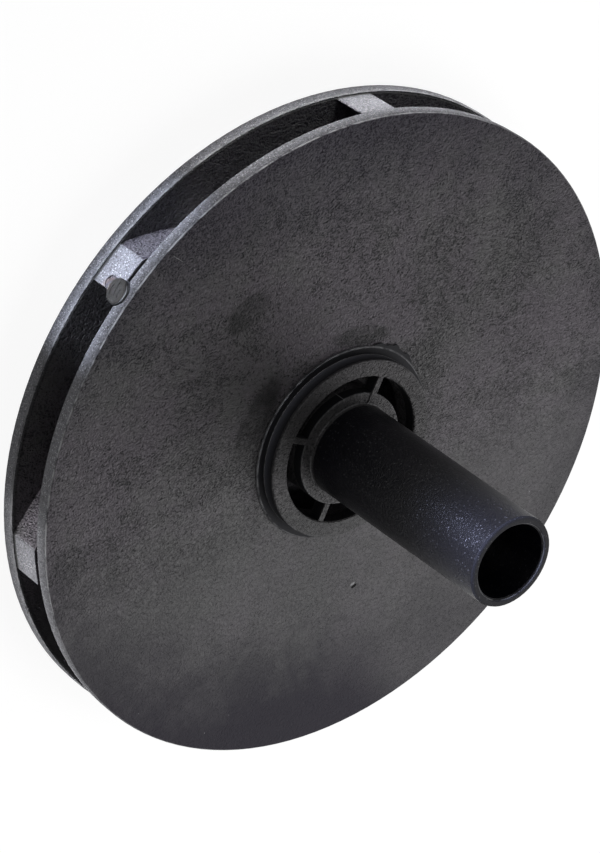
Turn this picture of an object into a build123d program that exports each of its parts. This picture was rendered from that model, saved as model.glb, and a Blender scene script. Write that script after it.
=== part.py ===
"""Closed centrifugal pump impeller, moulded in two halves.

The front cover is one moulding: front shroud, eye ring, four spokes, hub flange
and the long tube. The vaned back is the other: back shroud, seven backward-curved
vanes and a hub boss. The vanes' front edges seat in shallow grooves in the cover.

Millimetres. +Z is the shaft axis, from the back face towards the mouth of the tube.
The origin is on the axis, in the plane of the back face.
"""
from build123d import *
from math import acos, atan2, cos, hypot, radians, sin
import os

# Shrouds
disc_radius = 71.0
back_shroud_thickness = 2.8
channel_height = 8.9
front_shroud_thickness = 3.1
rim_edge_chamfer = 0.3

# Vanes
vane_count = 7
vane_inlet_setback = 4.3
vane_inlet_angle = 24.0
vane_outlet_angle = 35.0
vane_inlet_thickness = 2.8
vane_outlet_thickness = 4.9
vane_tip_setback = 0.5
vane_tip_edge_chamfer = 0.5
first_vane_tip_direction = 132.0

# Joint between the halves, with the gap left open at each vane's tip, first vane first
groove_depth = 0.8
groove_clearance = 0.1
weld_gap_depth = 1.6
weld_gap_heights = (1.1, 1.6, 1.3, 1.3, 1.3, 1.3, 0.7)

# Eye ring, with its low foot, and the throat behind it
eye_opening_width = 3.8
eye_ring_width = 3.5
eye_ring_height = 3.6
throat_edge_chamfer = 0.8
foot_width = 1.7
foot_height = 0.55
foot_edge_chamfer = 0.35
ring_edge_chamfer = 0.2

# Hub flange and spokes
flange_width = 2.45
flange_drop = 0.5
flange_thickness = 3.0
flange_edge_chamfer = 0.2
spoke_count = 4
spoke_width = 1.3
spoke_depth = 3.0
spoke_drop = 0.25
first_spoke_direction = 62.0
ridged_spoke = 0

# Tube, whose outer lip is rounded in two flats
bore_diameter = 15.9
tube_length = 53.3
tube_mouth_wall = 1.75
tube_root_wall = 2.0
tube_root_chamfer = 0.4
lip_outer_round = 0.5
lip_round_middle = 0.15
lip_inner_chamfer = 0.5
bore_back_chamfer = 0.6

# Hub boss on the back half, which holds the foot of the tube
boss_clearance = 0.1
boss_flare = 6.0
spigot_depth = 1.2

# Gate stub at the tip of the first vane, and the mark beside it
stub_radius = 2.6
stub_direction = 134.6
stub_lean = 7.0
stub_height_above_rim = 0.55
stub_root_length = 2.6
stub_below_cover = 0.9
stub_edge_chamfer = 0.25
stub_notch_clearance = 0.3
mark_radius = 1.5
mark_depth = 0.3
mark_spacing = 3.4
mark_turn = 0.6

# Radii that follow from the sizes above
bore_radius = bore_diameter / 2
tube_tip_radius = bore_radius + tube_mouth_wall
tube_root_radius = bore_radius + tube_root_wall
flange_radius = tube_root_radius + flange_width
eye_throat_radius = flange_radius + eye_opening_width
eye_ring_outer_radius = eye_throat_radius + eye_ring_width
foot_radius = eye_ring_outer_radius + foot_width
vane_inlet_radius = eye_throat_radius + vane_inlet_setback
vane_tip_radius = disc_radius - vane_tip_setback
weld_gap_radius = vane_tip_radius - weld_gap_depth

# Levels that follow from the sizes above
channel_floor = back_shroud_thickness
cover_inside = channel_floor + channel_height
cover_face = cover_inside + front_shroud_thickness
eye_ring_face = cover_face + eye_ring_height
flange_face = eye_ring_face - flange_drop
flange_underside = flange_face - flange_thickness
tube_mouth = cover_face + tube_length
spigot_floor = channel_floor - spigot_depth


def camber_circle():
    """Centre and radius of the arc that meets the inlet and outlet radii at their angles."""
    outlet = radians(vane_outlet_angle)
    inlet = radians(vane_inlet_angle)
    spread = vane_tip_radius * cos(outlet) - vane_inlet_radius * cos(inlet)
    radius = (vane_tip_radius**2 - vane_inlet_radius**2) / (2 * spread)
    centre = Vector(vane_tip_radius - radius * cos(outlet), radius * sin(outlet))
    return centre, radius


def camber_direction(reach):
    """Direction from the camber centre to where the camber line is at this radius."""
    centre, radius = camber_circle()
    offset = hypot(centre.X, centre.Y)
    turn = acos((radius**2 + offset**2 - reach**2) / (2 * radius * offset))
    return atan2(-centre.Y, -centre.X) + turn


def vane_point(reach, side):
    """Point on the vane's outer (side 1) or inner (side -1) face, where the camber is at reach."""
    centre, radius = camber_circle()
    share = (reach - vane_inlet_radius) / (vane_tip_radius - vane_inlet_radius)
    thickness = vane_inlet_thickness + share * (vane_outlet_thickness - vane_inlet_thickness)
    direction = camber_direction(reach)
    spoke = Vector(cos(direction), sin(direction))
    return centre + spoke * (radius + side * thickness / 2)


def vane_outline(tip_radius, growth=0.0):
    """Plan of the vane whose tip lies in direction 0, cut off at tip_radius."""
    overrun = disc_radius + vane_outlet_thickness
    middle = (vane_inlet_radius + overrun) / 2
    outer = [vane_point(reach, 1) for reach in (vane_inlet_radius, middle, overrun)]
    inner = [vane_point(reach, -1) for reach in (overrun, middle, vane_inlet_radius)]
    nose_direction = camber_direction(vane_inlet_radius)
    nose_middle = (outer[0] + inner[2]) * 0.5
    forward = Vector(sin(nose_direction), -cos(nose_direction))
    nose = nose_middle + forward * (vane_inlet_thickness / 2)
    with BuildSketch() as plan:
        with BuildLine():
            ThreePointArc(*outer)
            Line(outer[2], inner[0])
            ThreePointArc(*inner)
            ThreePointArc(inner[2], nose, outer[0])
        make_face()
        if growth:
            offset(amount=growth)
        Circle(tip_radius, mode=Mode.INTERSECT)
    return plan.sketch


def one_vane(gap_height):
    """A vane with its seating edge, stepped down by gap_height under the cover at the rim."""
    rise = channel_height + groove_depth
    body = extrude(vane_outline(vane_tip_radius), amount=rise)
    step_height = groove_depth + gap_height
    step = Pos(0, 0, rise - step_height) * (
        Cylinder(disc_radius, step_height, align=(Align.CENTER, Align.CENTER, Align.MIN))
        - Cylinder(weld_gap_radius, step_height, align=(Align.CENTER, Align.CENTER, Align.MIN))
    )
    body = body - step
    upright = body.edges().filter_by(Axis.Z)
    tip_zone = (weld_gap_radius + vane_tip_radius) / 2
    at_tip = [edge for edge in upright if hypot(edge.center().X, edge.center().Y) > tip_zone]
    trailing = max(at_tip, key=lambda edge: edge.center().Y)
    body = chamfer(trailing, vane_tip_edge_chamfer)
    return Pos(0, 0, channel_floor) * body


def gate_stub(radius, start, end):
    """Round stub on the rim, between two distances out along its own line."""
    level = cover_inside - stub_below_cover
    seat = Rot(0, 0, stub_direction) * Pos(disc_radius, 0, level) * Rot(0, 0, stub_lean)
    outward = seat * Rot(0, 90, 0)
    reach = end - start
    return outward * Pos(0, 0, start) * Cylinder(
        radius, reach, align=(Align.CENTER, Align.CENTER, Align.MIN)
    )


def gate_mark():
    """Shallow round sink in the first vane's tip face, behind the stub."""
    level = cover_inside - stub_below_cover - mark_spacing
    turn = stub_direction - mark_turn
    face = Rot(0, 0, turn) * Pos(vane_tip_radius - mark_depth, 0, level) * Rot(0, 90, 0)
    return face * Cylinder(
        mark_radius, mark_depth + vane_tip_setback, align=(Align.CENTER, Align.CENTER, Align.MIN)
    )


def vane_directions():
    """Directions of the vanes' tips about the axis, the one with the gate stub first."""
    return [first_vane_tip_direction + turn * 360 / vane_count for turn in range(vane_count)]


def make_vaned_back():
    """Back shroud, vanes, hub boss and gate stub in one moulding."""
    socket_radius = tube_root_radius + boss_clearance
    with BuildSketch(Plane.XZ) as section:
        with BuildLine():
            Polyline(
                (bore_radius + bore_back_chamfer, 0),
                (disc_radius, 0),
                (disc_radius, channel_floor),
                (flange_radius + boss_flare, channel_floor),
                (flange_radius, channel_floor + boss_flare),
                (flange_radius, flange_underside),
                (socket_radius, flange_underside),
                (socket_radius, spigot_floor),
                (bore_radius, spigot_floor),
                (bore_radius, bore_back_chamfer),
                (bore_radius + bore_back_chamfer, 0),
            )
        make_face()
        chamfer(section.vertices().group_by(Axis.X)[-1], rim_edge_chamfer)
    solid = revolve(section.sketch, axis=Axis.Z)
    for direction, gap_height in zip(vane_directions(), weld_gap_heights):
        solid = solid + Rot(0, 0, direction) * one_vane(gap_height)
    stub = gate_stub(stub_radius, -stub_root_length, stub_height_above_rim)
    end = stub.faces().sort_by_distance(Vector(0, 0, cover_inside))[-1]
    stub = chamfer(end.edges(), stub_edge_chamfer)
    return solid + stub - gate_mark()


def cover_section():
    """Half section of the front shroud, with the eye ring and its foot."""
    foot_top = cover_face + foot_height
    with BuildSketch(Plane.XZ) as section:
        with BuildLine():
            Polyline(
                (eye_throat_radius + throat_edge_chamfer, cover_inside),
                (disc_radius, cover_inside),
                (disc_radius, cover_face),
                (foot_radius, cover_face),
                (foot_radius, foot_top - foot_edge_chamfer),
                (foot_radius - foot_edge_chamfer, foot_top),
                (eye_ring_outer_radius, foot_top),
                (eye_ring_outer_radius, eye_ring_face - ring_edge_chamfer),
                (eye_ring_outer_radius - ring_edge_chamfer, eye_ring_face),
                (eye_throat_radius + ring_edge_chamfer, eye_ring_face),
                (eye_throat_radius, eye_ring_face - ring_edge_chamfer),
                (eye_throat_radius, cover_inside + throat_edge_chamfer),
                (eye_throat_radius + throat_edge_chamfer, cover_inside),
            )
        make_face()
        chamfer(section.vertices().group_by(Axis.X)[-1], rim_edge_chamfer)
    return section.sketch


def hub_section():
    """Half section of the flange and the tube, from its foot in the boss to its mouth."""
    with BuildSketch(Plane.XZ) as section:
        with BuildLine():
            Polyline(
                (bore_radius, spigot_floor),
                (tube_root_radius, spigot_floor),
                (tube_root_radius, flange_underside),
                (flange_radius, flange_underside),
                (flange_radius, flange_face - flange_edge_chamfer),
                (flange_radius - flange_edge_chamfer, flange_face),
                (tube_root_radius + tube_root_chamfer, flange_face),
                (tube_root_radius, flange_face + tube_root_chamfer),
                (tube_tip_radius, tube_mouth - lip_outer_round),
                (tube_tip_radius - lip_round_middle, tube_mouth - lip_round_middle),
                (tube_tip_radius - lip_outer_round, tube_mouth),
                (bore_radius + lip_inner_chamfer, tube_mouth),
                (bore_radius, tube_mouth - lip_inner_chamfer),
                (bore_radius, spigot_floor),
            )
        make_face()
    return section.sketch


def spoke(direction, ridged):
    """Flat bar from the hub out into the eye ring, level with the flange unless ridged."""
    root = (bore_radius + tube_root_radius) / 2
    reach = (eye_throat_radius + eye_ring_outer_radius) / 2 - root
    top = eye_ring_face - spoke_drop
    bar = Pos(root, 0, top - spoke_depth) * Box(
        reach, spoke_width, spoke_depth, align=(Align.MIN, Align.CENTER, Align.MIN)
    )
    if not ridged:
        above_flange = Cylinder(flange_radius, spoke_depth, align=(Align.CENTER, Align.CENTER, Align.MIN))
        bar = bar - Pos(0, 0, flange_face) * above_flange
    return Rot(0, 0, direction) * bar


def make_front_cover():
    """Front shroud, eye ring, spokes, flange and tube in one moulding."""
    solid = revolve(cover_section(), axis=Axis.Z)
    for turn in range(spoke_count):
        direction = first_spoke_direction + turn * 360 / spoke_count
        solid = solid + spoke(direction, turn == ridged_spoke)
    solid = solid + revolve(hub_section(), axis=Axis.Z)
    seat = Pos(0, 0, cover_inside) * extrude(
        vane_outline(weld_gap_radius + groove_clearance, growth=groove_clearance), amount=groove_depth
    )
    for direction in vane_directions():
        solid = solid - Rot(0, 0, direction) * seat
    notch = gate_stub(
        stub_radius + stub_notch_clearance,
        -stub_root_length - stub_notch_clearance,
        stub_root_length,
    )
    return solid - notch


os.makedirs("parts", exist_ok=True)
front_cover = make_front_cover()
vaned_back = make_vaned_back()
for name, solid in {"front_cover": front_cover, "vaned_back": vaned_back}.items():
    export_step(solid, f"parts/{name}.step")
    print(name, "volume", round(solid.volume, 1), "mm3")
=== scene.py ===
# %% [markdown]
# A closed pump impeller in black moulded plastic. The real thing is two mouldings
# bonded together: a front cover with its long tube, and a back disc that carries the vanes.
# Both solids come from the CAD frame and keep their shapes. This file gives them their
# finish, adds a sliver that the mould left behind, and sets up the photograph.

import bpy
import numpy as np
from mathutils import Matrix, Vector


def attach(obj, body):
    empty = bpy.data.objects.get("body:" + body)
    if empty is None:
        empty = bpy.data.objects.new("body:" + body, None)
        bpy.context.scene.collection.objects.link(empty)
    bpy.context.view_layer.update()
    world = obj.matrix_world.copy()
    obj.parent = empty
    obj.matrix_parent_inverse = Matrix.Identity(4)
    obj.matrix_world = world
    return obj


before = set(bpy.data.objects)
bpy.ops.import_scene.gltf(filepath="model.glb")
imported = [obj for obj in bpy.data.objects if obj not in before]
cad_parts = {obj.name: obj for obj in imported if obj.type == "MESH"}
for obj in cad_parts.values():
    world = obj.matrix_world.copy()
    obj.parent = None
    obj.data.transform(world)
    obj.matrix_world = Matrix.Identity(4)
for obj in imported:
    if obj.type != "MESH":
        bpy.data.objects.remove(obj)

bpy.context.scene.view_settings.view_transform = "Standard"
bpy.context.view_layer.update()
for name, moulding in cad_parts.items():
    print(name, "triangles", len(moulding.data.polygons), "slots", len(moulding.material_slots))

# %% [markdown]
# Every finish here is built from shader nodes. A few small helpers keep that readable:
# one adds a node and fills its sockets, some do sums, and one opens a group with named
# sockets. A group is a finish effect that is written once and used in more than one material.

# %% Helpers for nodes
def add(tree, kind, sockets=None, **fields):
    """Add one node; sockets maps an input's name or number to a value or to another output."""
    made = tree.nodes.new(kind)
    for field, value in fields.items():
        setattr(made, field, value)
    for key, value in (sockets or {}).items():
        if isinstance(value, bpy.types.NodeSocket):
            tree.links.new(value, made.inputs[key])
        else:
            made.inputs[key].default_value = value
    return made


def open_group(name, inputs, outputs):
    """A new group with those sockets, each a (name, type) pair; type is Float or Vector."""
    tree = bpy.data.node_groups.new(name, "ShaderNodeTree")
    for label, kind in inputs:
        tree.interface.new_socket(label, in_out="INPUT", socket_type="NodeSocket" + kind)
    for label, kind in outputs:
        tree.interface.new_socket(label, in_out="OUTPUT", socket_type="NodeSocket" + kind)
    return tree, tree.nodes.new("NodeGroupInput").outputs, tree.nodes.new("NodeGroupOutput").inputs


def use(tree, group, sockets):
    """Place a group in a tree, fill its sockets and hand back its outputs."""
    return add(tree, "ShaderNodeGroup", sockets, node_tree=group).outputs


print("node helpers ready")

# %% Helpers for sums
def maths(tree, operation, *values):
    """One Math node's result."""
    return add(tree, "ShaderNodeMath", dict(enumerate(values)), operation=operation).outputs[0]


def plus(tree, first, second):
    """The sum of two values."""
    return maths(tree, "ADD", first, second)


def minus(tree, first, second):
    """The first value less the second."""
    return maths(tree, "SUBTRACT", first, second)


def times(tree, first, second):
    """The product of two values."""
    return maths(tree, "MULTIPLY", first, second)


def larger(tree, first, second):
    """The larger of two values."""
    return maths(tree, "MAXIMUM", first, second)


def vector_maths(tree, operation, first, second):
    """One Vector Math node's vector."""
    return add(tree, "ShaderNodeVectorMath", {0: first, 1: second}, operation=operation).outputs[0]


def length(tree, vector):
    """How long a vector is."""
    return add(tree, "ShaderNodeVectorMath", {0: vector}, operation="LENGTH").outputs["Value"]


print("sum helpers ready")

# %% Helpers for masks and noise
def ramp(tree, value, low, high):
    """0 below low, 1 above high, and a smooth S between them."""
    sockets = {"Value": value, "From Min": low, "From Max": high}
    return add(tree, "ShaderNodeMapRange", sockets, interpolation_type="SMOOTHSTEP").outputs["Result"]


def blend(tree, mask, colour_a, colour_b):
    """colour_a where the mask is 0 and colour_b where it is 1."""
    made = add(tree, "ShaderNodeMix", {0: mask, 6: colour_a, 7: colour_b}, data_type="RGBA")
    return made.outputs[2]


def between(tree, mask, value_a, value_b):
    """value_a where the mask is 0 and value_b where it is 1."""
    return add(tree, "ShaderNodeMix", {0: mask, 2: value_a, 3: value_b}).outputs[0]


def noise(tree, where, rate, detail, roughness=0.5, distortion=0.0):
    """Soft noise from 0 to 1, with about rate swells to the millimetre."""
    sockets = {"Vector": where, "Scale": rate, "Detail": detail}
    sockets.update({"Roughness": roughness, "Distortion": distortion})
    return add(tree, "ShaderNodeTexNoise", sockets).outputs[0]


print("mask helpers ready")

# %% [markdown]
# An impeller is a turned shape, so most of its finish follows two numbers: how far a point
# lies from the shaft, and how high it is above the back face. Object coordinates give both,
# and they stay on the part when the camera moves. The group also hands on millimetres, and
# how far a point is into the half towards +Y, where the grain and patches show more, the face
# is paler, and the rim's painted highlight falls.

# %% Group: place on the part
millimetres_per_metre = 1000.0
toward_y_from, toward_y_full = -25.0, 20.0
shaft_place, given, result = open_group(
    "shaft_place", [],
    [("Radius", "Float"), ("Height", "Float"), ("Millimetres", "Vector"), ("Toward Y", "Float")],
)
coordinates = shaft_place.nodes.new("ShaderNodeTexCoord").outputs["Object"]
to_scale = {0: coordinates, "Scale": millimetres_per_metre}
millimetres = add(shaft_place, "ShaderNodeVectorMath", to_scale, operation="SCALE").outputs[0]
axes = add(shaft_place, "ShaderNodeSeparateXYZ", {0: millimetres}).outputs
x_squared = times(shaft_place, axes["X"], axes["X"])
y_squared = times(shaft_place, axes["Y"], axes["Y"])
from_shaft = maths(shaft_place, "SQRT", plus(shaft_place, x_squared, y_squared))
shaft_place.links.new(from_shaft, result["Radius"])
shaft_place.links.new(axes["Z"], result["Height"])
shaft_place.links.new(millimetres, result["Millimetres"])
toward_y = ramp(shaft_place, axes["Y"], toward_y_from, toward_y_full)
shaft_place.links.new(toward_y, result["Toward Y"])
print("group", shaft_place.name)

# %% [markdown]
# The faces have the fine leathery grain that a spark-eroded mould leaves: shallow wrinkles
# under a millimetre apart, drawn out a little along one direction, never in rows. Noise that
# is folded about its middle value gives the wrinkles, and a cell pattern breaks them into pits.

# %% Group: moulded grain
grain_stretch = (0.85, 1.0, 1.0)
wrinkles_per_pitch, pits_per_wrinkle = 0.55, 1.6
wrinkle_detail, wrinkle_roughness, wrinkle_distortion = 2.0, 0.5, 0.8
noise_middle, fold_gain = 0.5, 5.0
ridge_share, pit_share = 0.55, 0.6
moulded_grain, given, result = open_group(
    "moulded_grain", [("Millimetres", "Vector"), ("Pitch", "Float")], [("Height", "Float")]
)
drawn_out = vector_maths(moulded_grain, "MULTIPLY", given["Millimetres"], grain_stretch)
rate = maths(moulded_grain, "DIVIDE", wrinkles_per_pitch, given["Pitch"])
wrinkles = noise(moulded_grain, drawn_out, rate, wrinkle_detail, wrinkle_roughness, wrinkle_distortion)
folded = maths(moulded_grain, "ABSOLUTE", minus(moulded_grain, wrinkles, noise_middle))
ridges = minus(moulded_grain, 1.0, times(moulded_grain, folded, fold_gain))
pits = add(
    moulded_grain, "ShaderNodeTexVoronoi",
    {"Vector": drawn_out, "Scale": times(moulded_grain, rate, pits_per_wrinkle), "Randomness": 1.0},
).outputs["Distance"]
grain_height = plus(
    moulded_grain, times(moulded_grain, ridges, ridge_share), times(moulded_grain, pits, pit_share)
)
moulded_grain.links.new(grain_height, result["Height"])
print("group", moulded_grain.name)

# %% [markdown]
# Plastic cools unevenly against the steel, and hands and cloths polish it afterwards, so a
# broad black face is never one grey. Two sizes of soft noise, added up, give patches with
# ragged outlines. The same group serves both mouldings at different sizes.

# %% Group: cooling patches
broad_detail, broad_roughness, broad_distortion = 3.0, 0.6, 0.4
ragged_per_broad, ragged_detail = 6.0, 3.0
broad_share, ragged_share = 0.7, 0.3
patch_from, patch_full = 0.36, 0.64
cooling_patches, given, result = open_group(
    "cooling_patches", [("Millimetres", "Vector"), ("Size", "Float")], [("Mask", "Float")]
)
broad_rate = maths(cooling_patches, "DIVIDE", 1.0, given["Size"])
broad = noise(
    cooling_patches, given["Millimetres"], broad_rate, broad_detail, broad_roughness, broad_distortion
)
ragged_rate = times(cooling_patches, broad_rate, ragged_per_broad)
ragged = noise(cooling_patches, given["Millimetres"], ragged_rate, ragged_detail)
patchy = plus(
    cooling_patches, times(cooling_patches, broad, broad_share),
    times(cooling_patches, ragged, ragged_share),
)
cooling_patches.links.new(ramp(cooling_patches, patchy, patch_from, patch_full), result["Mask"])
print("group", cooling_patches.name)

# %% [markdown]
# The corners carry a thin line of painted highlight, where their edges catch the light. Each
# corner of a turned part is a circle, known by its radius and height, so the highlight's mask is
# simply the distance to that circle, with noise that breaks the line up. It works on any corner
# and needs no unwrapping.

# %% Group: painted corner highlight
chatter_rate, chatter_detail = 0.35, 4.0
chatter_from, chatter_full = 0.3, 0.6
painted_corner_highlight, given, result = open_group(
    "painted_corner_highlight",
    [("Radius", "Float"), ("Height", "Float"), ("Millimetres", "Vector"),
     ("Corner Radius", "Float"), ("Corner Height", "Float"), ("Width", "Float")],
    [("Mask", "Float")],
)
across = minus(painted_corner_highlight, given["Radius"], given["Corner Radius"])
upward = minus(painted_corner_highlight, given["Height"], given["Corner Height"])
apart_squared = plus(
    painted_corner_highlight, times(painted_corner_highlight, across, across), times(painted_corner_highlight, upward, upward)
)
apart = maths(painted_corner_highlight, "SQRT", apart_squared)
near = minus(painted_corner_highlight, 1.0, ramp(painted_corner_highlight, apart, 0.0, given["Width"]))
chatter = noise(painted_corner_highlight, given["Millimetres"], chatter_rate, chatter_detail)
broken_up = ramp(painted_corner_highlight, chatter, chatter_from, chatter_full)
painted_corner_highlight.links.new(times(painted_corner_highlight, near, broken_up), result["Mask"])
print("group", painted_corner_highlight.name)

# %% [markdown]
# Pale specks lie on every surface. On the faces they are dust; on the rims and the tube they
# are painted glints, the light that the rough grain catches. A cell pattern gives each speck a
# cell. Only cells whose random number is below the share show one, and the speck is the small
# zone round the cell's centre.

# %% Group: dust and painted glint specks
dust_and_glint_specks, given, result = open_group(
    "dust_and_glint_specks",
    [("Millimetres", "Vector"), ("Spacing", "Float"), ("Share", "Float"), ("Size", "Float")],
    [("Mask", "Float")],
)
cell_rate = maths(dust_and_glint_specks, "DIVIDE", 1.0, given["Spacing"])
cells = add(
    dust_and_glint_specks, "ShaderNodeTexVoronoi",
    {"Vector": given["Millimetres"], "Scale": cell_rate, "Randomness": 1.0},
).outputs
speck_radius = maths(dust_and_glint_specks, "DIVIDE", given["Size"], given["Spacing"])
dot = minus(dust_and_glint_specks, 1.0, ramp(dust_and_glint_specks, cells["Distance"], 0.0, speck_radius))
lot = add(dust_and_glint_specks, "ShaderNodeSeparateXYZ", {0: cells["Color"]}).outputs[0]
chosen = maths(dust_and_glint_specks, "LESS_THAN", lot, given["Share"])
dust_and_glint_specks.links.new(times(dust_and_glint_specks, dot, chosen), result["Mask"])
print("group", dust_and_glint_specks.name)

# %% [markdown]
# Single marks, such as a nick or a scratch, each have a place of their own. A Mapping node
# of the texture kind turns and shrinks space about that place, so that a mark of any length
# and direction becomes the unit ball. It fades out in the ball's outer part.

# %% Group: single mark
mark_full_to = 0.6
single_mark, given, result = open_group(
    "single_mark",
    [("Millimetres", "Vector"), ("Place", "Vector"), ("Turn", "Vector"), ("Reach", "Vector")],
    [("Mask", "Float")],
)
mapped = {"Vector": given["Millimetres"], "Location": given["Place"]}
mapped.update({"Rotation": given["Turn"], "Scale": given["Reach"]})
local = add(single_mark, "ShaderNodeMapping", mapped, vector_type="TEXTURE").outputs[0]
faded = ramp(single_mark, length(single_mark, local), mark_full_to, 1.0)
single_mark.links.new(minus(single_mark, 1.0, faded), result["Mask"])
print("group", single_mark.name)

# %% [markdown]
# Both mouldings are the same black plastic, so they share one list of colours. Black is
# never zero: the grained face scatters a little light and is nearly grey, the smooth tube
# is far darker, and only the painted shade in a nick or in the crease at a vane's foot comes
# close to nothing. Some colours below are painted light and shade, as noted at each.

# %% Colours of the plastic
face_dark = (0.012, 0.011, 0.0135, 1.0)
face_pale = (0.09, 0.088, 0.09, 1.0)
face_violet = (0.096, 0.084, 0.099, 1.0)
# Painted shade: the dark and the pale of the zone by the rim, where the face is painted darker.
shaded_zone_dark = (0.0095, 0.0065, 0.017, 1.0)
shaded_zone_pale = (0.05, 0.045, 0.06, 1.0)
# Painted shade: the eye's ring and flange, and the patches beside the eye, painted darker.
eye_shade_dark = (0.012, 0.0115, 0.013, 1.0)
eye_shade_pale = (0.05, 0.048, 0.05, 1.0)
smooth_black = (0.003, 0.003, 0.006, 1.0)
rim_grey = (0.033, 0.033, 0.037, 1.0)
# Painted glitter: the rim's grain is painted lighter on its ridges.
rim_glint = (0.12, 0.12, 0.136, 1.0)
# Grey for painted highlights on corners, on the stub's edge and as glints on the tube, and for real
# scratches.
scratch_and_highlight_grey = (0.24, 0.24, 0.25, 1.0)
# Painted highlight: the rim's glints and the bright line along its front corner.
rim_highlight = (0.5, 0.5, 0.52, 1.0)
sheared_grey = (0.007, 0.0068, 0.0075, 1.0)
gate_brown = (0.10, 0.065, 0.05, 1.0)
# Painted shade in the nick and in the crease at each vane's foot; also the stub's real dark strokes.
shade_and_stroke_black = (0.001, 0.001, 0.001, 1.0)
dust_colour = (0.45, 0.45, 0.47, 1.0)
print("colours set")

# %% [markdown]
# One small function starts a material, and four more place the groups in it. Each of those
# fills in the point's place on the part, so that a material only names the mark, the patches,
# the specks or the corner that it wants.

# %% Placing the groups
def start_material(name):
    """A material with a Principled shader, and the place group's outputs."""
    made = bpy.data.materials.new(name)
    made.use_nodes = True
    tree = made.node_tree
    shader = next(node for node in tree.nodes if node.type == "BSDF_PRINCIPLED")
    return made, tree, shader, use(tree, shaft_place, {})


def mark_at(tree, place, middle, reach, turn=0.0):
    """Mask of one mark; middle and half lengths in mm, turn in degrees about the shaft axis."""
    sockets = {"Millimetres": place["Millimetres"], "Place": middle, "Reach": reach}
    sockets["Turn"] = (0.0, 0.0, np.radians(turn))
    return use(tree, single_mark, sockets)["Mask"]


def patches_of(tree, place, size):
    """Mask of the cooling patches at a size in mm."""
    return use(tree, cooling_patches, {"Millimetres": place["Millimetres"], "Size": size})["Mask"]


def specks_of(tree, place, spacing, share, size):
    """Mask of specks; spacing and size in mm, share of the cells that show one."""
    sockets = {"Millimetres": place["Millimetres"], "Spacing": spacing, "Share": share, "Size": size}
    return use(tree, dust_and_glint_specks, sockets)["Mask"]


def corner_highlight_of(tree, place, corner_radius, corner_height, width):
    """Mask of the painted highlight on the corner at that radius and height, all in mm."""
    sockets = {key: place[key] for key in ("Radius", "Height", "Millimetres")}
    sockets.update({"Corner Radius": corner_radius, "Corner Height": corner_height, "Width": width})
    return use(tree, painted_corner_highlight, sockets)["Mask"]


print("placing functions ready")

# %% [markdown]
# The broad faces are grained and patchy. One tone is worked out from the grain's height and
# the patches, and it picks the colour between a dark and a pale grey, so that the grain stays
# visible inside every patch. Towards the rim the face turns duller, and painted shade makes
# it darker. The distance to that zone is measured on an oval, because it is broad along Y
# and narrow along X.

# %% The grained face
relief_middle, patch_middle = 0.56, 0.5
grain_even, grain_toward_y = 0.3, 1.6
patch_even, patch_toward_y = 0.15, 0.65
tone_toward_y = 0.36
tone_from, tone_full = -0.31, 0.69
tint_per_patch = 1.7
depth_even, depth_toward_y = 0.35, 1.3
zone_shift, zone_oval = (0.0, -4.0, 0.0), (0.66, 1.0, 0.0)
zone_from, zone_full, zone_waver = 36.0, 66.0, 6.0
zone_strength, cleared_strength = 0.95, 0.7
cleared_middle, cleared_reach = (42.0, -52.0, 14.8), (44.0, 36.0, 40.0)
zone_grain_from, zone_grain_full = 0.45, 0.85
face_gloss, zone_dullness = 0.6, 0.22


def more_toward_y(tree, place, even, toward_y):
    """The even value, plus the other one towards +Y."""
    return plus(tree, even, times(tree, place["Toward Y"], toward_y))


def shaded_zone_of(tree, place, patches):
    """Mask of the dull zone by the rim, painted darker as shade: a shifted oval whose edge wavers,
    less a cleared patch.
    """
    shifted = vector_maths(tree, "ADD", place["Millimetres"], zone_shift)
    reach = length(tree, vector_maths(tree, "MULTIPLY", shifted, zone_oval))
    pushed_out = minus(tree, reach, times(tree, patches, zone_waver))
    cleared = mark_at(tree, place, cleared_middle, cleared_reach)
    strength = minus(tree, zone_strength, times(tree, cleared, cleared_strength))
    return times(tree, ramp(tree, pushed_out, zone_from, zone_full), strength)


def grained_skin(tree, place, pitch, patch_size):
    """The grained face: its colour, its relief and its roughness.

    Grain and patches stand out more towards +Y, and the face is paler there. Near the rim painted
    shade darkens the colour.
    """
    patches = patches_of(tree, place, patch_size)
    grain = {"Millimetres": place["Millimetres"], "Pitch": pitch}
    relief = use(tree, moulded_grain, grain)["Height"]
    grain_part = times(
        tree, minus(tree, relief, relief_middle), more_toward_y(tree, place, grain_even, grain_toward_y)
    )
    patch_part = times(
        tree, minus(tree, patches, patch_middle), more_toward_y(tree, place, patch_even, patch_toward_y)
    )
    tone = plus(tree, grain_part, patch_part)
    tone = plus(tree, tone, times(tree, place["Toward Y"], tone_toward_y))
    tinted = patches_of(tree, place, times(tree, patch_size, tint_per_patch))
    pale = blend(tree, tinted, face_pale, face_violet)
    colour = blend(tree, ramp(tree, tone, tone_from, tone_full), face_dark, pale)
    # Painted shade: the colour is darker in the zone by the rim.
    shaded_zone = shaded_zone_of(tree, place, patches)
    roughness = plus(tree, face_gloss, times(tree, shaded_zone, zone_dullness))
    depth = times(tree, relief, more_toward_y(tree, place, depth_even, depth_toward_y))
    zone_grain = times(tree, ramp(tree, relief, zone_grain_from, zone_grain_full), place["Toward Y"])
    shaded_zone_colour = blend(tree, zone_grain, shaded_zone_dark, shaded_zone_pale)
    return blend(tree, shaded_zone, colour, shaded_zone_colour), depth, roughness


print("dull zone from", zone_from, "to", zone_full, "mm on the oval")

# %% [markdown]
# The rims were left rougher by the mould's parting. The same grain at a finer pitch makes the
# texture, painted lighter on its ridges as glitter, and dense small pale specks are painted glints.

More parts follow.
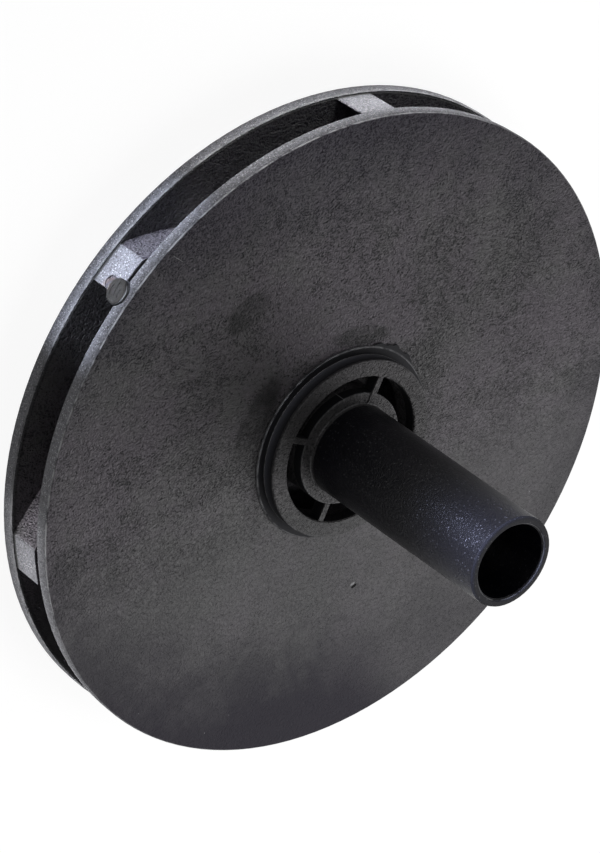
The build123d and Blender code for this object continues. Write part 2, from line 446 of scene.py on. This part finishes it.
# %% The rims
rim_pitch, rim_from, rim_full, rim_relief = 0.29, 0.32, 0.92, 0.4
glint_spacing, glint_share, glint_size, glint_strength = 0.4, 0.5, 0.19, 0.75


def rim_skin(tree, place):
    """The rim's finer texture: its colour with painted glitter and glints, and its relief."""
    grain = {"Millimetres": place["Millimetres"], "Pitch": rim_pitch}
    relief = use(tree, moulded_grain, grain)["Height"]
    # Painted glitter: the grain's ridges are lighter, and pale specks are painted glints.
    colour = blend(tree, ramp(tree, relief, rim_from, rim_full), rim_grey, rim_glint)
    glints = specks_of(tree, place, glint_spacing, glint_share, glint_size)
    colour = blend(tree, times(tree, glints, glint_strength), colour, rim_highlight)
    return colour, times(tree, relief, rim_relief)


print("rim pitch", rim_pitch, "mm")

# %% [markdown]
# The cover's plastic. Its broad face is grained; the tube, and the eye ring's walls and low
# foot, came off polished steel and are smooth and darker; the rim has the finer texture. They
# could be three materials on picked faces, but one material with masks on the radius and the
# height needs no picking, and on the real part they are one piece of plastic too.

# %% Where the cover changes its finish, in millimetres
cover_top = 14.8
foot_levels, eye_levels, wall_levels = (14.95, 15.1), (15.0, 15.2), (15.45, 15.6)
flange_levels, tube_levels, mouth_levels = (17.6, 17.8), (18.5, 18.7), (67.5, 67.65)
ring_wall_radii, cover_rim_radii = (19.7, 19.85), (70.72, 70.9)
cover_pitch, cover_patch_size = 0.4, 17.0
cover_plastic, tree, shader, place = start_material("cover_plastic")
colour, depth, face_roughness = grained_skin(tree, place, cover_pitch, cover_patch_size)
rim_colour, rim_depth = rim_skin(tree, place)
in_tube = ramp(tree, place["Height"], *tube_levels)
in_eye = ramp(tree, place["Height"], *eye_levels)
below_flange_face = minus(tree, 1.0, ramp(tree, place["Height"], *flange_levels))
outside_ring = ramp(tree, place["Radius"], *ring_wall_radii)
on_walls = larger(
    tree, times(tree, ramp(tree, place["Height"], *wall_levels), below_flange_face),
    times(tree, ramp(tree, place["Height"], *foot_levels), outside_ring),
)
smooth = larger(tree, in_tube, on_walls)
on_mouth = ramp(tree, place["Height"], *mouth_levels)
on_rim = ramp(tree, place["Radius"], *cover_rim_radii)
print("material", cover_plastic.name, "has its masks")

# %% [markdown]
# Three patches of painted shade lie on the face near the eye, where the tube and the ring shade
# it. Each is a soft mark laid round the shaft, with the cooling patches to break its outline. The
# eye's own surfaces are painted darker than the face, as shade, and the tube, the walls and the
# rim come on top.

# %% Cover: painted shade near the eye, then tube and rim
eye_shades = {
    "beside the eye": (25.0, 146.0, 4.0, 12.0),
    "above the eye": (23.6, 77.0, 2.8, 9.0),
    "half way out": (44.5, 121.0, 4.0, 6.5),
}
eye_shade_height, eye_shade_ragged_size = 2.0, 5.0
eye_shade_even, eye_shade_ragged = 0.45, 0.5
eye_from, eye_full, eye_shade_strength = 0.3, 0.8, 0.75
eye_shaded = 0.0
for out, round_shaft, wide, long in eye_shades.values():
    direction = np.radians(round_shaft)
    eye_shade_middle = (out * np.cos(direction), out * np.sin(direction), cover_top)
    eye_shade = mark_at(tree, place, eye_shade_middle, (wide, long, eye_shade_height), round_shaft)
    eye_shaded = larger(tree, eye_shaded, eye_shade)
ragged = patches_of(tree, place, eye_shade_ragged_size)
eye_shaded = times(tree, eye_shaded, plus(tree, eye_shade_even, times(tree, ragged, eye_shade_ragged)))
# Painted shade: the patches beside the eye are darkened.
colour = blend(tree, eye_shaded, colour, eye_shade_dark)
# Painted shade: the eye's ring and flange are darker, as in the tube's shade.
eye_shade_colour = blend(tree, ramp(tree, depth, eye_from, eye_full), eye_shade_dark, eye_shade_pale)
colour = blend(tree, times(tree, in_eye, eye_shade_strength), colour, eye_shade_colour)
colour = blend(tree, smooth, colour, smooth_black)
colour = blend(tree, on_rim, colour, rim_colour)
print("eye_shades", len(eye_shades))

# %% [markdown]
# The corners' painted highlights: the rim's front corner is painted pale towards +Y, where it
# catches the light, and that fades out towards +X, where it does not. The other corners have grey
# painted highlights.

# %% Cover: painted corner highlights
corners = {
    "foot": (21.2, 15.2, 0.3), "ring": (19.65, 18.35, 0.2), "flange": (12.35, 17.85, 0.35),
    "tube root": (10.15, 18.1, 0.25), "lip": (8.25, 67.9, 0.2),
}
rim_corner = (70.85, 14.65, 0.28)
highlight_even, highlight_toward_y = 0.3, 0.7
away_from_light_from, away_from_light_full = 15.0, 50.0
corner_strength = 0.7
# Painted highlight on the rim's front corner, kept to the +Y side and fading towards +X.
highlit = corner_highlight_of(tree, place, *rim_corner)
highlit = times(tree, highlit, more_toward_y(tree, place, highlight_even, highlight_toward_y))
sideways = add(tree, "ShaderNodeSeparateXYZ", {0: place["Millimetres"]}).outputs["X"]
away_from_light = ramp(tree, sideways, away_from_light_from, away_from_light_full)
highlit = times(tree, highlit, minus(tree, 1.0, away_from_light))
colour = blend(tree, highlit, colour, rim_highlight)
# Grey painted highlights along the other corners.
for corner in corners.values():
    highlit = corner_highlight_of(tree, place, *corner)
    colour = blend(tree, times(tree, highlit, corner_strength), colour, scratch_and_highlight_grey)
print("worn corners", len(corners) + 1)

# %% [markdown]
# Then the single marks, from the photograph: fine painted glints on the tube, dust on the face, a
# short scratch near the rim, a witness line on the flange, and one deep nick with a pale lip, its
# hollow painted near black as shade.

# %% Cover: sparkle, dust, scratch and nick
sparkle_spacing, sparkle_share, sparkle_size, sparkle_strength = 0.6, 0.35, 0.24, 0.3
dust_spacing, dust_share, dust_size = 3.2, 0.12, 0.16
# Painted glints: pale specks on the tube.
sparkle = specks_of(tree, place, sparkle_spacing, sparkle_share, sparkle_size)
sparkle = times(tree, times(tree, sparkle, in_tube), sparkle_strength)
colour = blend(tree, sparkle, colour, scratch_and_highlight_grey)
dust = specks_of(tree, place, dust_spacing, dust_share, dust_size)
colour = blend(tree, dust, colour, dust_colour)
scratch = mark_at(tree, place, middle=(-38.7, 55.5, cover_top), reach=(1.9, 0.09, 1.0), turn=-43.0)
witness = mark_at(tree, place, middle=(-1.7, 12.3, 16.5), reach=(0.12, 1.4, 2.2), turn=8.0)
colour = blend(tree, larger(tree, scratch, witness), colour, scratch_and_highlight_grey)
# Painted shade: the nick is near black, as the shade in its hollow.
nick = mark_at(tree, place, middle=(3.7, -36.9, cover_top), reach=(0.85, 0.42, 0.6), turn=16.0)
nick_lip = mark_at(tree, place, middle=(3.4, -36.25, cover_top), reach=(0.75, 0.35, 0.6), turn=16.0)
colour = blend(tree, nick_lip, colour, scratch_and_highlight_grey)
colour = blend(tree, nick, colour, shade_and_stroke_black)
tree.links.new(colour, shader.inputs["Base Color"])
print("single marks placed")

# %% Cover: roughness and relief
tube_gloss, wall_dullness, rim_dullness, nick_dullness = 0.33, 0.85, 0.6, 1.0
smooth_relief, nick_depth = 0.4, 0.5
relief_metres = 0.0003
roughness = between(tree, in_tube, face_roughness, tube_gloss)
roughness = between(tree, larger(tree, on_mouth, on_walls), roughness, wall_dullness)
roughness = between(tree, on_rim, roughness, rim_dullness)
roughness = between(tree, nick, roughness, nick_dullness)
tree.links.new(roughness, shader.inputs["Roughness"])
depth = between(tree, smooth, depth, times(tree, rim_depth, smooth_relief))
depth = between(tree, on_rim, depth, rim_depth)
depth = minus(tree, depth, times(tree, nick, nick_depth))
raised = {"Height": depth, "Strength": 1.0, "Distance": relief_metres}
tree.links.new(add(tree, "ShaderNodeBump", raised).outputs[0], shader.inputs["Normal"])
print("material", cover_plastic.name, "nodes", len(tree.nodes))

# %% [markdown]
# The back moulding is the same plastic, but its tool left the vanes and both sides of the
# disc grained all over, and the rim takes the same painted glints, with a painted highlight on
# its corner. Each vane's foot is painted near black at the rim, as painted shade in the crease
# against the disc.

# %% Material: back plastic
back_pitch, back_patch_size = 0.44, 15.0
back_rim_radii, back_corner = (70.2, 70.45), (70.9, 2.7, 0.35)
back_plastic, tree, shader, place = start_material("back_plastic")
colour, depth, roughness = grained_skin(tree, place, back_pitch, back_patch_size)
rim_colour, rim_depth = rim_skin(tree, place)
on_rim = ramp(tree, place["Radius"], *back_rim_radii)
colour = blend(tree, on_rim, colour, rim_colour)
# Painted highlight along the back rim's corner.
colour = blend(tree, corner_highlight_of(tree, place, *back_corner), colour, scratch_and_highlight_grey)
print("material", back_plastic.name, "has its skin")

# %% [markdown]
# The gate stub was sheared off, which left a dark, smooth end with a few strokes from the
# cutter, and its edge has a pale crescent of painted highlight where it catches the light. All
# of it lies on one small disc square to the radius, so the marks are turned to the gate's own
# direction: they are thin along the radius and long along the rim. The round sink beside it is
# scorched.

# %% Back: the sheared stub
gate_turn = 134.6
stub_radius, stub_level, sink_radius, sink_level = 71.5, 10.8, 70.4, 7.4
torn_from, torn_full = 0.1, 0.4
sheared_reach, middle_reach = (1.0, 4.5, 4.5), (3.0, 3.95, 3.95)
crescent_drop, crescent_from, crescent_full = 0.85, 0.45, 0.85
strokes = ((0.3, -1.1, 1.2), (-0.4, 0.1, 1.7), (0.2, 1.1, 1.0))
stroke_reach, stroke_height = 1.0, 0.3
gate_out = np.array([np.cos(np.radians(gate_turn)), np.sin(np.radians(gate_turn)), 0.0])
stub_end = gate_out * stub_radius + (0.0, 0.0, stub_level)
sheared = mark_at(tree, place, tuple(stub_end), sheared_reach, gate_turn)
torn = blend(tree, ramp(tree, rim_depth, torn_from, torn_full), shade_and_stroke_black, sheared_grey)
# Painted highlight: a pale crescent on the edge of the stub's end.
below_end = tuple(stub_end - (0.0, 0.0, crescent_drop))
middle = mark_at(tree, place, below_end, middle_reach, gate_turn)
crescent = ramp(tree, minus(tree, 1.0, middle), crescent_from, crescent_full)
colour = blend(tree, sheared, colour, blend(tree, crescent, torn, scratch_and_highlight_grey))
scored = 0.0
for along, above, half_length in strokes:
    stroke_middle = stub_end + np.array([-gate_out[1] * along, gate_out[0] * along, above])
    reach = (stroke_reach, half_length, stroke_height)
    scored = larger(tree, scored, mark_at(tree, place, tuple(stroke_middle), reach, gate_turn))
colour = blend(tree, scored, colour, shade_and_stroke_black)
print("strokes on the stub", len(strokes))

# %% Back: the scorched sink, painted shade at the vane feet, and the dust
scorch_outside, scorch_inside, scorch_strength = 2.1, 1.5, 0.6
foot_shade_levels, foot_shade_radii, foot_shade_end_levels = (2.75, 2.85), (69.6, 70.0), (3.1, 3.7)
back_dust_spacing = 3.0
sink = tuple(gate_out * sink_radius + (0.0, 0.0, sink_level))
scorched = minus(
    tree, mark_at(tree, place, sink, (scorch_outside,) * 3),
    mark_at(tree, place, sink, (scorch_inside,) * 3),
)
colour = blend(tree, times(tree, scorched, scorch_strength), colour, gate_brown)
# Painted shade: each vane's foot is near black where it meets the disc at the rim.
at_foot = times(
    tree, ramp(tree, place["Height"], *foot_shade_levels), ramp(tree, place["Radius"], *foot_shade_radii)
)
low_enough = minus(tree, 1.0, ramp(tree, place["Height"], *foot_shade_end_levels))
colour = blend(tree, times(tree, at_foot, low_enough), colour, shade_and_stroke_black)
dust = specks_of(tree, place, back_dust_spacing, dust_share, dust_size)
colour = blend(tree, dust, colour, dust_colour)
tree.links.new(colour, shader.inputs["Base Color"])
print("sink at", np.round(sink, 1), "mm")

# %% Back: roughness and relief
sheared_gloss, stroke_depth = 0.2, 1.5
roughness = between(tree, on_rim, roughness, rim_dullness)
roughness = between(tree, sheared, roughness, sheared_gloss)
tree.links.new(roughness, shader.inputs["Roughness"])
depth = between(tree, on_rim, depth, rim_depth)
depth = minus(tree, depth, times(tree, scored, stroke_depth))
raised = {"Height": depth, "Strength": 1.0, "Distance": relief_metres}
tree.links.new(add(tree, "ShaderNodeBump", raised).outputs[0], shader.inputs["Normal"])
print("material", back_plastic.name, "nodes", len(tree.nodes))

# %% [markdown]
# Each moulding is one piece of plastic, so every slot of its mesh takes the same finish.

# %% Dress the two mouldings
finishes = {"front_cover": cover_plastic, "vaned_back": back_plastic}
for name, finish in finishes.items():
    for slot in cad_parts[name].material_slots:
        slot.material = finish
    print(name, "wears", finish.name)

# %% [markdown]
# Where the two mould inserts met round the eye, a thin sliver of flash was left on the low
# foot of the ring. It hugs the foot and feathers out over the face with a ragged edge. It
# could be painted on, but its edge stands up and throws a line of shade, so it is a mesh.

# %% Foot flash: the sliver's surface
def ribbon(name, inner, outer, bottom, top):
    """A closed thin sliver between two rows of points in plan, from bottom to top, in metres.

    The two rows are laid out at both levels. Each side joins one row to the next, point by
    point, and two quads close the ends.
    """
    count = len(inner)
    rows = [
        np.column_stack([row, np.full(count, level)])
        for level in (bottom, top) for row in (inner, outer)
    ]
    low_in, low_out, high_in, high_out = np.arange(4 * count).reshape(4, count)
    sides = [(high_in, high_out), (high_out, low_out), (low_out, low_in), (low_in, high_in)]
    quads = [
        np.column_stack([first[:-1], second[:-1], second[1:], first[1:]]) for first, second in sides
    ]
    ends = [
        [low_in[0], low_out[0], high_out[0], high_in[0]],
        [high_in[-1], high_out[-1], low_out[-1], low_in[-1]],
    ]
    mesh = bpy.data.meshes.new(name)
    mesh.from_pydata(np.concatenate(rows).tolist(), [], np.concatenate(quads + [ends]).tolist())
    mesh.validate()
    made = bpy.data.objects.new(name, mesh)
    bpy.context.collection.objects.link(made)
    return made


print("ribbon function ready")

# %% [markdown]
# The inner edge is the arc of the foot. The outer edge lies further out by a small width:
# an even part plus two sine waves, times a taper that brings both ends down to nothing.

# %% Foot flash
foot_radius, cover_face, tucked_in = 0.0214, 0.0148, 0.0001
flash_bottom, flash_top, least_width = 0.0002, 0.00038, 0.00003
flash_from, flash_to, flash_points, taper_power = 68.0, 34.0, 60, 0.6
even_width, slow_swing, fast_swing = 0.0009, 0.0003, 0.00015
slow_rate, fast_rate, fast_start = 17, 41, 1.0
turn = np.radians(np.linspace(flash_from, flash_to, flash_points))
share = np.linspace(0.0, 1.0, flash_points)
taper = np.sin(np.pi * share) ** taper_power
waves = even_width + slow_swing * np.sin(slow_rate * share)
waves = waves + fast_swing * np.sin(fast_rate * share + fast_start)
ragged_width = taper * waves + least_width
plan = np.column_stack([np.cos(turn), np.sin(turn)])
inner_edge = plan * (foot_radius - tucked_in)
outer_edge = plan * (foot_radius + ragged_width)[:, None]
flash_levels = (cover_face + flash_bottom, cover_face + flash_top)
flash = ribbon("foot_flash", inner_edge, outer_edge, *flash_levels)
flash.data.materials.append(cover_plastic)
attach(flash, "root")
print("flash faces", len(flash.data.polygons))

# %% [markdown]
# The impeller lies on its back face on a pale floor, tube upwards. The photograph was
# taken obliquely from above with the camera rolled, so that the tube points down to the
# right. A long lens keeps the two discs nearly parallel in the picture.

# %% Camera
sensor_width, focal_length = 36.0, 141.4
camera_place = Vector((-0.3487, 0.3639, 0.4628))
camera_forward = Vector((0.50895, -0.53576, -0.67374)).normalized()
camera_up = Vector((0.32294, 0.84437, -0.42750))
camera_right = camera_forward.cross(camera_up).normalized()
camera_up = camera_right.cross(camera_forward)
turned = Matrix((camera_right, camera_up, -camera_forward)).transposed().to_4x4()
lens = bpy.data.cameras.new("camera")
lens.sensor_width = sensor_width
lens.lens = focal_length
camera = bpy.data.objects.new("camera", lens)
camera.matrix_world = Matrix.Translation(camera_place) @ turned
bpy.context.collection.objects.link(camera)
bpy.context.scene.camera = camera
print("camera at", [round(c, 3) for c in camera_place], "lens", lens.lens)

# %% [markdown]
# The floor is plain and pale. To the camera and in reflections it mostly glows white, as a
# studio sweep does, and it keeps a little of its matte self, so that the soft shadow stays.
# Every other ray meets matte paint, which returns light to the underside of the part.

# %% Floor
side, floor_colour, floor_glow, white_share = 3.0, (0.86, 0.86, 0.86, 1.0), 1.08, 0.85
floor_mesh = bpy.data.meshes.new("floor")
floor_corners = [(-side, -side, 0.0), (side, -side, 0.0), (side, side, 0.0), (-side, side, 0.0)]
floor_mesh.from_pydata(floor_corners, [], [(0, 1, 2, 3)])
floor = bpy.data.objects.new("floor", floor_mesh)
bpy.context.collection.objects.link(floor)
pale = bpy.data.materials.new("pale_floor")
pale.use_nodes = True
floor_tree = pale.node_tree
floor_tree.nodes.clear()
full_white = (1.0, 1.0, 1.0, 1.0)
matte = add(floor_tree, "ShaderNodeBsdfDiffuse", {"Color": floor_colour}).outputs[0]
glow = add(floor_tree, "ShaderNodeEmission", {"Color": full_white, "Strength": floor_glow}).outputs[0]
rays = floor_tree.nodes.new("ShaderNodeLightPath").outputs
seen = larger(floor_tree, rays["Is Camera Ray"], rays["Is Glossy Ray"])
mixed = add(
    floor_tree, "ShaderNodeMixShader", {0: times(floor_tree, seen, white_share), 1: matte, 2: glow}
).outputs[0]
add(floor_tree, "ShaderNodeOutputMaterial", {"Surface": mixed})
floor_mesh.materials.append(pale)
print("floor", side * 2, "m")

# %% [markdown]
# The world is a dim grey that fills the shadows, and plain white to the camera alone, so
# that a view past the floor's edge is white too. Is Camera Ray tells the two apart.

# %% World
world_fill, world_seen = 0.22, 1.0
world = bpy.data.worlds.new("studio")
bpy.context.scene.world = world
world.use_nodes = True
sky = world.node_tree
sky.nodes.clear()
rays = sky.nodes.new("ShaderNodeLightPath").outputs["Is Camera Ray"]
dim = add(sky, "ShaderNodeBackground", {"Color": full_white, "Strength": world_fill}).outputs[0]
white = add(sky, "ShaderNodeBackground", {"Color": full_white, "Strength": world_seen}).outputs[0]
either = add(sky, "ShaderNodeMixShader", {0: rays, 1: dim, 2: white}).outputs[0]
add(sky, "ShaderNodeOutputWorld", {"Surface": either})
print("world fill", world_fill)

# %% [markdown]
# Soft studio light. A broad box hangs over the face, on the side where the face mirrors it
# towards the camera. Black plastic shows little but reflections, so three narrow strips stand
# at the height of the rims and send nearly parallel light past the face onto the rims alone,
# and one small lamp gives the tube its bluish glint. A small spread keeps each beam narrow.

# %% Lamps
def softbox(name, place, aim, width, height, watts):
    """A rectangular lamp at place, facing aim, all in metres."""
    lamp = bpy.data.lights.new(name, "AREA")
    lamp.shape = "RECTANGLE"
    lamp.size, lamp.size_y, lamp.energy = width, height, watts
    made = bpy.data.objects.new(name, lamp)
    made.location = place
    made.rotation_mode = "QUATERNION"
    made.rotation_quaternion = (Vector(aim) - Vector(place)).to_track_quat("-Z", "Y")
    bpy.context.collection.objects.link(made)
    return made


strip_spread, tube_spread = 0.025, 0.08
cool_white, bluish = (0.82, 0.88, 1.0), (0.62, 0.68, 1.0)
key = softbox("key", (0.34, -0.35, 0.52), (0.0, 0.0, 0.02), width=0.45, height=0.45, watts=3.85)
top_strip = softbox(
    "top_strip", (0.102, 0.488, 0.007), (0.022, 0.06, 0.0075), width=0.1, height=0.01, watts=0.0115
)
left_strip = softbox(
    "left_strip", (-0.48, -0.14, 0.007), (-0.06, -0.018, 0.0075), width=0.055, height=0.01,
    watts=0.0035,
)
glint = softbox(
    "glint", (-0.3, 0.34, 0.007), (-0.045, 0.052, 0.0075), width=0.038, height=0.01, watts=0.0058
)
tube_glint = softbox(
    "tube_glint", (-0.3, 0.31, 0.0725), (0.0, 0.0, 0.0695), width=0.03, height=0.02, watts=0.0078
)
for strip in (top_strip, left_strip, glint):
    strip.data.spread = strip_spread
tube_glint.data.spread = tube_spread
glint.data.color = cool_white
tube_glint.data.color = bluish
print("lamps", key.name, top_strip.name, left_strip.name, glint.name, tube_glint.name)

# %% [markdown]
# Last, the view layer is updated. The finish adds nothing outside the CAD's box, and the
# sliver lies well within the disc.

# %% Update the scene
bpy.context.view_layer.update()
